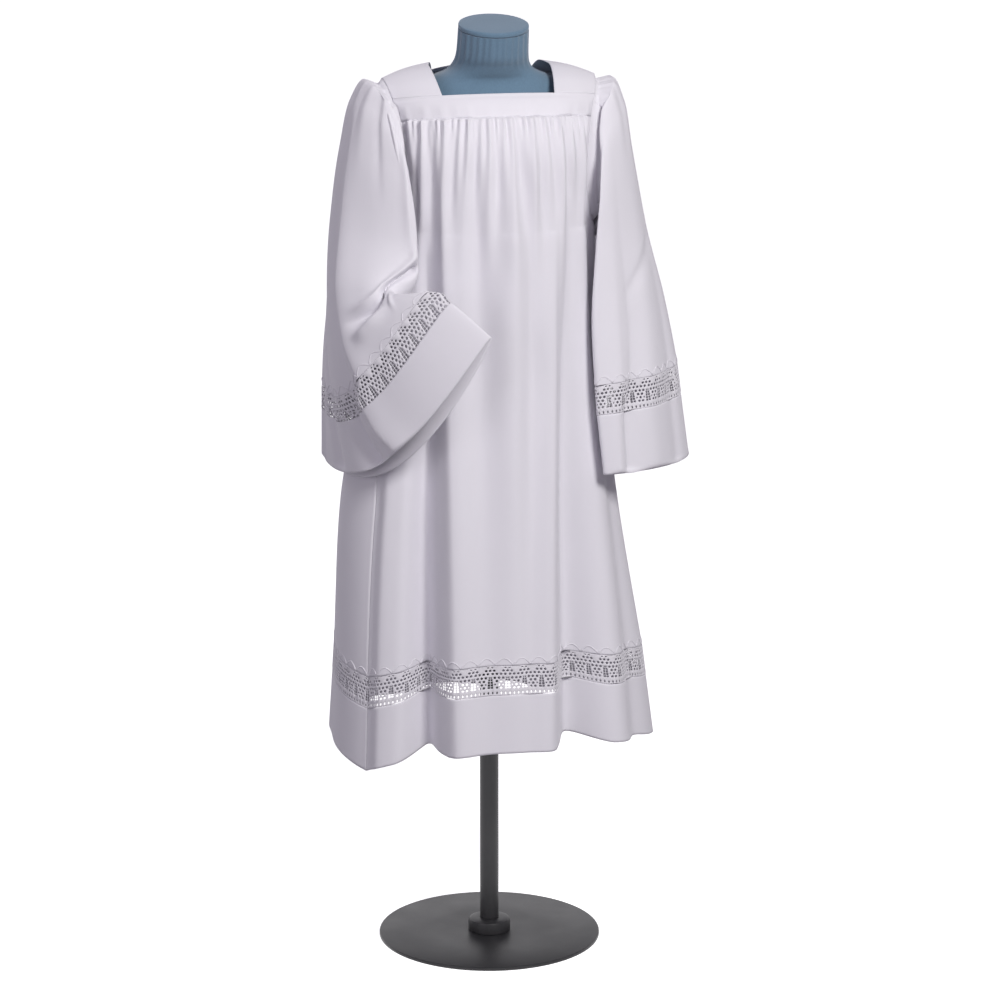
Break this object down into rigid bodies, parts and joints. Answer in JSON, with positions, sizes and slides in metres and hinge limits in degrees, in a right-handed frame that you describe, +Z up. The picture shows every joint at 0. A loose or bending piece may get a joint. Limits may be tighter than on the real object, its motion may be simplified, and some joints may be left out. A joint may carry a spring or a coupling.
{
  "type": "surplice on a dress form",
  "caption": "Long white surplice with a square yoke, gathered body, full open sleeves and lace insertion bands, worn by a limbless dress form on a floor stand.",
  "frame": {"origin": "middle of the underside of the stand's base, on the floor", "axes": "+Z up, the garment's front looks along -Y, the wearer's left is +X"},
  "size_m": [0.6234, 0.5019, 1.5886],
  "materials": {
    "cloth": "fine plain weave, matt with a soft sheen",
    "lace": "openwork lace insertion",
    "jersey": "knitted jersey cover",
    "stand": "black powder coat"
  },
  "bodies": {
    "root": {"yoke_front": "cloth", "yoke_back": "cloth", "shoulder_left": "cloth", "shoulder_right": "cloth", "front_panel": "cloth", "back_panel": "cloth", "sleeve_left": "cloth", "sleeve_right": "cloth", "cuff_left": "cloth", "cuff_right": "cloth", "hem_front": "cloth", "hem_back": "cloth", "cuff_lace_left": "lace", "cuff_lace_right": "lace", "hem_lace_front": "lace", "hem_lace_back": "lace", "form_body": "jersey", "neck_cap": "jersey", "stand_base": "stand", "stand_flange": "stand", "stand_pole": "stand", "stand_socket": "stand"}
  },
  "joints": []
}
